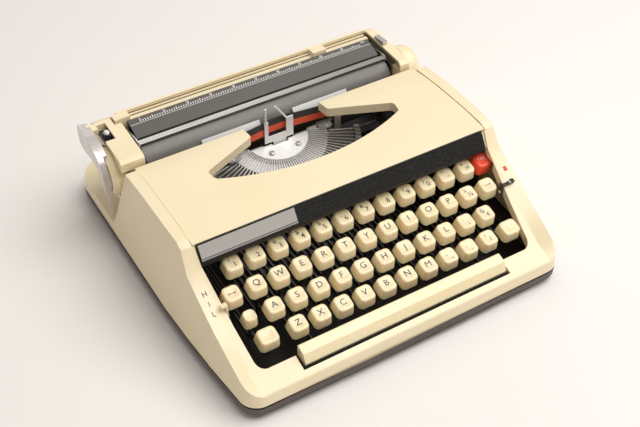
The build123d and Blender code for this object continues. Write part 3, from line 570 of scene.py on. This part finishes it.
cardMarks = bmesh.new()
cardScale["start"] = onCard(cardScale["top"])
cardScale["end"] = onCard(cardScale["top"] - cardScale["turn"])
for side in (-1, 1):
    part = bmesh.new()
    ticks(part, cardScale)
    bmesh.ops.scale(part, verts=part.verts, vec=(side, 1, 1))
    join(cardMarks, part)
turnUp(cardMarks)
keep(cardMarks, "cardMarks", "base", inkGrey, slot="scale_white")
print("scales ruled")

# marks on the cheeks; a cheek's top is a twisted face between its inner and its outer edge
cheek = {"inner": 128.6, "outer": 151.0, "bend": -100.0, "lowStart": 47.0, "lowRise": 0.7,
         "highStart": 53.0, "highRise": 16 / 39, "lift": 0.12}
cheekLetters = {"x": -134.0, "marks": (("H", -75.6), ("I", -82.2), ("L", -88.8)), "size": 5.4, "weight": 0.05}
cheekSquare = {"middle": (134.1, -75.9), "side": 3.4}


def cheekHeight(x, y):
    share = (abs(x) - cheek["inner"]) / (cheek["outer"] - cheek["inner"])
    low = cheek["lowStart"] + (y - cheek["bend"]) * cheek["lowRise"]
    high = cheek["highStart"] + (y - cheek["bend"]) * cheek["highRise"]
    return low + (high - low) * share


def layOnCheek(bm):
    for v in bm.verts:
        v.co.z = cheekHeight(v.co.x, v.co.y) + cheek["lift"]


letters = bmesh.new()
for text, y in cheekLetters["marks"]:
    x = cheekLetters["x"]
    rise = math.atan((cheekHeight(x, y + 1) - cheekHeight(x, y - 1)) / 2)
    words(letters, text, cheekLetters["size"], placed((x, y, 0), math.degrees(rise)),
          weight=cheekLetters["weight"])
layOnCheek(letters)
keep(letters, "cheekMarks", "base", inkBlack, slot="casing")

square = bmesh.new()
patch(square, (*cheekSquare["middle"], 0), (cheekSquare["side"], 0, 0), (0, cheekSquare["side"], 0))
layOnCheek(square)
keep(square, "redSquare", "base", inkRed, slot="casing")
print("cheeks marked")

# a screw head with a dark slot, and the two that hold the segment's plate
screw = {"sides": 20, "taper": 0.8, "tall": 0.9, "edge": 0.2, "slotLong": 0.75, "slotHalf": 0.25,
         "slotLow": 0.42, "slotHigh": 0.5}
tiltBasket = placed((0, 63.5, 59.5), 12)


def screwHead(bm, matrix, radius, slotTurn):
    part = bmesh.new()
    bmesh.ops.create_cone(part, cap_ends=True, segments=screw["sides"], radius1=radius,
                          radius2=radius * screw["taper"], depth=screw["tall"])
    roundEdges(part, list(topFace(part).edges), screw["edge"], 2)
    part.transform(matrix)
    join(bm, part)
    groove = bmesh.new()
    long, half = radius * screw["slotLong"], screw["slotHalf"]
    slab(groove, (-long, -half, screw["slotLow"]), (long, half, screw["slotHigh"]), 1)
    groove.transform(matrix @ Matrix.Rotation(slotTurn, 4, "Z"))
    join(bm, groove)


plateScrews = {"places": ((-12.5, -18.5, 1.35), (12.5, -18.5, 1.35)), "radius": 2.5, "turns": (0.5, 1.5)}
heads = bmesh.new()
for place, slotTurn in zip(plateScrews["places"], plateScrews["turns"]):
    screwHead(heads, tiltBasket @ placed(place), plateScrews["radius"], slotTurn)
keep(heads, "plateScrews", "basket", typeSteel, slot="type_steel", second=inkBlack)

# brackets at the two ends of the segment, each bent down to the cross beam
bracket = {"plate": ((37.5, 49.8, 56.8), (49.5, 60.8, 57.8)), "corner": 2.2,
           "arm": ((48.0, 57.5, 56.8), (53.6, 60.8, 57.8)), "leg": ((50.8, 59.8, 32.2), (53.6, 60.8, 57.2)),
           "screw": (45.0, 54.0, 58.2), "screwRadius": 2.8, "screwTurn": 0.9}
brackets = bmesh.new()
for side in (-1, 1):
    part = bmesh.new()
    slab(part, *bracket["plate"])
    roundEdges(part, edgesAlong(part, 2, 0.5), bracket["corner"], 4)
    slab(part, *bracket["arm"])
    slab(part, *bracket["leg"])
    screwHead(part, placed(bracket["screw"]), bracket["screwRadius"], bracket["screwTurn"])
    if side < 0:
        part.transform(Matrix.Diagonal((-1, 1, 1, 1)))
        bmesh.ops.reverse_faces(part, faces=part.faces)
    join(brackets, part)
keep(brackets, "basketBrackets", "base", segmentSteel, slot="type_steel", second=inkBlack)

# comb in front of the segment: a tooth on each side of every typebar
comb = {"first": -23, "last": 21, "step": math.radians(3.41), "inner": 36.6, "outer": 45.0, "top": -0.1,
        "low": -5.2, "slot": 1.3}
teeth = bmesh.new()
for k in range(comb["first"], comb["last"] + 1):
    part = bmesh.new()
    for v in slab(part, (-1, -comb["outer"], comb["low"]), (1, -comb["inner"], comb["top"])):
        v.co.x *= -v.co.y * comb["step"] / 2 - comb["slot"] / 2
    part.transform(tiltBasket @ Matrix.Rotation((k + 0.5) * comb["step"], 4, "Z"))
    join(teeth, part)
keep(teeth, "segmentComb", "basket", segmentSteel, slot="type_steel")

# printed ring round the left knob's button
buttonRing = {"inner": 14.7, "outer": 15.7, "place": (-145.66, 77, 70), "steps": 48}
ring = bmesh.new()
bmesh.ops.create_circle(ring, cap_ends=False, segments=buttonRing["steps"], radius=buttonRing["outer"])
made = bmesh.ops.extrude_edge_only(ring, edges=list(ring.edges))["geom"]
innerCorners = [g for g in made if isinstance(g, bmesh.types.BMVert)]
bmesh.ops.scale(ring, verts=innerCorners, vec=[buttonRing["inner"] / buttonRing["outer"]] * 3)
turnUp(ring)
ring.transform(placed(buttonRing["place"], -90, "Y"))
keep(ring, "buttonRing", "roller", inkBrown, slot="casing")


def blocks(name, body, material, corners, **more):
    # a piece made of plain blocks, each from its lowest to its highest corner
    bm = bmesh.new()
    for pair in corners:
        slab(bm, *pair)
    keep(bm, name, body, material, **more)


# the recess in the left cap is dark, with a white knob on the selector
window = {"floor": ((-138.7, 82.9, 90.02), (-130.8, 104.1, 90.2)),
          "side": ((-130.72, 83.2, 90.1), (-130.52, 103.8, 93.6))}
selector = {"plate": ((-136.3, 90.1, 90.35), (-131.5, 96.9, 92.7)),
            "post": ((-134.5, 91.6, 92.5), (-132.9, 95.4, 94.5)),
            "knob": (-133.7, 93.5, 94.6), "knobSize": (2.3, 3.0, 1.9)}
blocks("windowFloor", "carriage", spoolBlack, [window["floor"]], slot="rail_steel")
blocks("windowSide", "carriage", spoolBlack, [window["side"]], slot="rail_steel")
knob = bmesh.new()
bmesh.ops.create_uvsphere(knob, u_segments=28, v_segments=16, radius=1.0)
bmesh.ops.scale(knob, verts=knob.verts, vec=selector["knobSize"])
bmesh.ops.translate(knob, verts=knob.verts, vec=selector["knob"])
keep(knob, "selectorKnob", "line_selector", buttonWhite, slot="button_white")
blocks("selectorPlate", "line_selector", leverSteel, [selector["plate"], selector["post"]],
       standsFor=("line_space_selector",))

trimLip = {"box": ((-127.2, -59.4, 73.2), (125.3, -58.2, 77.6)), "edge": 0.5}
lip = bmesh.new()
slab(lip, *trimLip["box"])
roundEdges(lip, edgesAlong(lip, 0, 1), trimLip["edge"], 3)
keep(lip, "trimLip", "base", trimBlack, slot="trim")

# slim black arm of the ribbon selector, with a pale band near its end
selectorArm = {"stem": ((123.6, -87.0, 48.4), (124.9, -83.0, 58.6)),
               "bar": ((123.6, -88.2, 57.6), (134.4, -85.4, 59.0)),
               "grip": ((131.0, -88.4, 58.8), (134.5, -85.2, 60.4)),
               "band": ((130.1, -88.3, 58.9), (131.0, -85.3, 60.0))}
armBlocks = bmesh.new()
for partName, pair in selectorArm.items():
    slab(armBlocks, *pair, 1 if partName == "band" else 0)
keep(armBlocks, "colourArm", "colour", spoolBlack, ("ribbon_selector",), second=buttonWhite)

rackShelf = {"box": ((-116.9, 107.9, 91.6), (116.9, 110.05, 92.6))}
blocks("rackShelf", "carriage", stripOlive, [rackShelf["box"]], slot="rail_steel")

# two fine lines along the lower edge of the bare plate
plateLine = {"lines": (((-126.2, 1.3, 0.0), (-48.2, 1.9, 0.06)), ((-126.2, 0.1, 0.0), (-48.2, 0.5, 0.06))),
             "place": (0, -60.1, 79.0), "lean": 57}
lines = bmesh.new()
for pair in plateLine["lines"]:
    slab(lines, *pair)
lines.transform(placed(plateLine["place"], plateLine["lean"]))
keep(lines, "plateLine", "base", inkBlack, slot="plate")

leverScrew = {"place": (-150.9, 106.0, 83.6), "radius": 2.6, "turn": 0.3}
head = bmesh.new()
screwHead(head, placed(leverScrew["place"], -90, "Y"), leverScrew["radius"], leverScrew["turn"])
keep(head, "leverScrew", "return", frameSteel, slot="lever_grey", second=inkBlack)
print("fittings made")

# floor, light and camera
room = {"floor": (0.90, 0.875, 0.855), "half": 6.0, "sky": 0.38, "tint": (1.0, 0.93, 0.86, 1),
        "aim": (0, 0, 0.05)}
lamps = {
    "keyLamp": {"place": (0.6, -0.42, 1.6), "size": 1.7, "power": 27.5, "tint": (1.0, 0.99, 0.97)},
    "fillLamp": {"place": (0.3, 1.6, 1.3), "size": 1.2, "power": 2.5, "tint": (1.0, 0.99, 0.98)},
}
view = {"yaw": -30.920, "pitch": 42.746, "roll": -0.065, "place": (-0.3234, -0.5506, 0.6084), "lens": 58.97}

floor = bpy.data.objects.new("floor", bpy.data.meshes.new("floor"))
ground = bmesh.new()
bmesh.ops.create_grid(ground, x_segments=2, y_segments=2, size=room["half"])
ground.to_mesh(floor.data)
ground.free()
bpy.context.scene.collection.objects.link(floor)
f = Finish("paleFloor")
shade = tuple(c * 0.985 for c in room["floor"])
floor.data.materials.append(f.set(Base_Color=f.drift(f.noise(2.0, 2), room["floor"], shade), Roughness=0.75))

world = bpy.data.worlds.new("studio")
bpy.context.scene.world = world
world.use_nodes = True
world.node_tree.nodes["Background"].inputs[0].default_value = room["tint"]
world.node_tree.nodes["Background"].inputs[1].default_value = room["sky"]

for name, lamp in lamps.items():
    data = bpy.data.lights.new(name, "AREA")
    data.shape = "DISK"
    data.size = lamp["size"]
    data.energy = lamp["power"]
    data.color = lamp["tint"]
    light = bpy.data.objects.new(name, data)
    bpy.context.scene.collection.objects.link(light)
    light.location = lamp["place"]
    light.rotation_mode = "QUATERNION"
    light.rotation_quaternion = (Vector(room["aim"]) - Vector(lamp["place"])).to_track_quat("-Z", "Y")

yaw, pitch = math.radians(view["yaw"]), math.radians(view["pitch"])
back = Vector((math.sin(yaw) * math.cos(pitch), -math.cos(yaw) * math.cos(pitch), math.sin(pitch)))
right = Vector((math.cos(yaw), math.sin(yaw), 0))
up = back.cross(right)
camera = bpy.data.objects.new("camera", bpy.data.cameras.new("camera"))
camera.data.lens = view["lens"]
camera.data.sensor_width = 36.0
camera.data.clip_start = 0.01
camera.data.clip_end = 30
turned = Matrix((right, up, back)).transposed().to_4x4() @ Matrix.Rotation(math.radians(view["roll"]), 4, "Z")
camera.matrix_world = Matrix.Translation(view["place"]) @ turned
bpy.context.scene.collection.objects.link(camera)
bpy.context.scene.camera = camera
bpy.context.scene.view_settings.view_transform = "Standard"
print("room lit")
